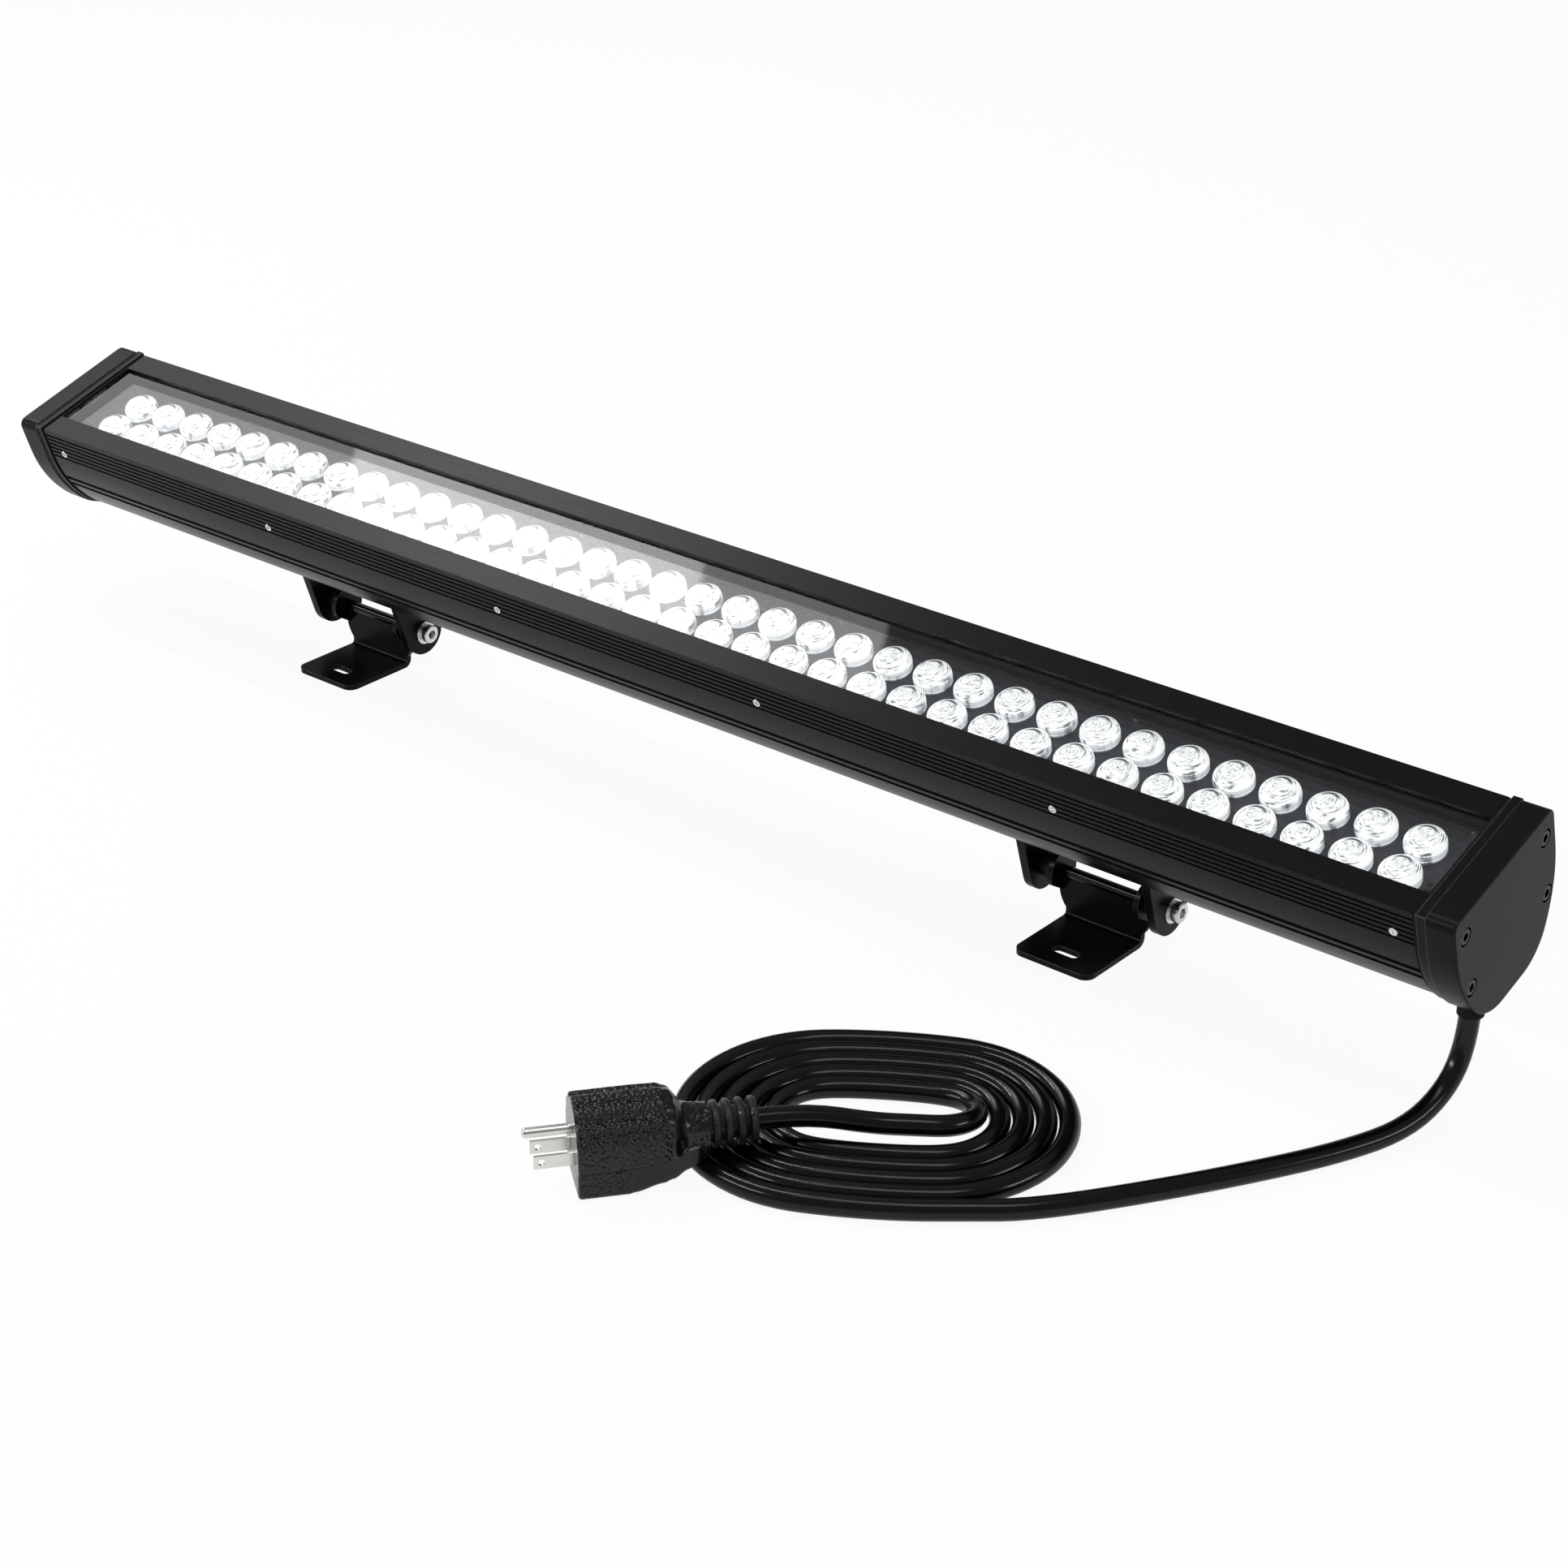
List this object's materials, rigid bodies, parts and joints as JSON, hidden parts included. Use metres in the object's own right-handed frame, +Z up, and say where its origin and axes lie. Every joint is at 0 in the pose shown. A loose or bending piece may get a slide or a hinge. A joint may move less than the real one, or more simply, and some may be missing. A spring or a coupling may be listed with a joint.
{
  "type": "outdoor wall washer light",
  "caption": "Long black linear wall washer light with two rows of domed lenses behind glass, tilting slotted foot brackets and a coiled mains cord with a grounded plug.",
  "frame": {"origin": "midway between the centres of the two foot slots, on the surface that the feet are bolted to", "axes": "+X along the bar towards the cord end, +Z up away from the mounting surface, -Y towards the side that the bar tilts to"},
  "size_m": [1, 0.3778, 0.1449],
  "materials": {
    "anodised_aluminium": "satin black anodised extrusion",
    "cast_aluminium": "satin charcoal coating on die-cast aluminium",
    "clear_glass": "clear tempered glass",
    "seal_rubber": "matt black rubber",
    "lens_panel_plastic": "dark blue-grey plastic",
    "lens_acrylic": "clear moulded acrylic",
    "board_metal": "white solder mask on an aluminium core",
    "led_phosphor": "yellow phosphor",
    "screw_steel": "bright stainless steel",
    "black_steel": "black oxide steel",
    "driver_metal": "plain aluminium case",
    "lead_pvc": "grey sheathed lead",
    "coated_steel": "satin black powder coat on steel",
    "cord_pvc": "glossy black PVC",
    "plug_pvc": "moulded black PVC",
    "plated_brass": "nickel-plated brass"
  },
  "bodies": {
    "lamp": {"housing_extrusion": "anodised_aluminium", "window_glass": "clear_glass", "front_glass_seal": "seal_rubber", "rear_glass_seal": "seal_rubber", "lens_panel": "lens_panel_plastic", "front_row_lenses": "lens_acrylic", "rear_row_lenses": "lens_acrylic", "led_board": "board_metal", "led_chips": "led_phosphor", "panel_screws": "black_steel", "driver_case": "driver_metal", "output_lead": "lead_pvc", "mains_lead": "lead_pvc", "left_end_cap": "cast_aluminium", "right_end_cap": "cast_aluminium", "left_end_gasket": "seal_rubber", "right_end_gasket": "seal_rubber", "left_cap_screws": "black_steel", "right_cap_screws": "black_steel", "front_side_screws": "screw_steel", "rear_side_screws": "screw_steel", "left_saddle": "coated_steel", "left_saddle_screws": "screw_steel", "left_pivot_bolt": "screw_steel", "left_pivot_nut": "screw_steel", "left_pivot_washers": "screw_steel", "left_pivot_spacers": "black_steel", "right_saddle": "coated_steel", "right_saddle_screws": "screw_steel", "right_pivot_bolt": "screw_steel", "right_pivot_nut": "screw_steel", "right_pivot_washers": "screw_steel", "right_pivot_spacers": "black_steel", "cord_bush": "seal_rubber", "cord_coil": "cord_pvc", "power_cord": "cord_pvc", "cord_tail": "cord_pvc", "plug_body": "plug_pvc", "plug_strain_relief": "plug_pvc", "plug_blades": "plated_brass", "ground_pin": "plated_brass"},
    "left_foot": {"left_foot_bracket": "coated_steel"},
    "right_foot": {"right_foot_bracket": "coated_steel"}
  },
  "joints": [
    {"name": "left_foot_tilt", "type": "hinge", "parent": "lamp", "child": "left_foot", "pos_m": [-0.267, 0.0316, 0.0285], "axis": [1, 0, 0], "range_deg": [-60, 107.5]},
    {"name": "right_foot_tilt", "type": "hinge", "parent": "lamp", "child": "right_foot", "pos_m": [0.267, 0.0316, 0.0285], "axis": [1, 0, 0], "range_deg": [-60, 107.5]}
  ]
}
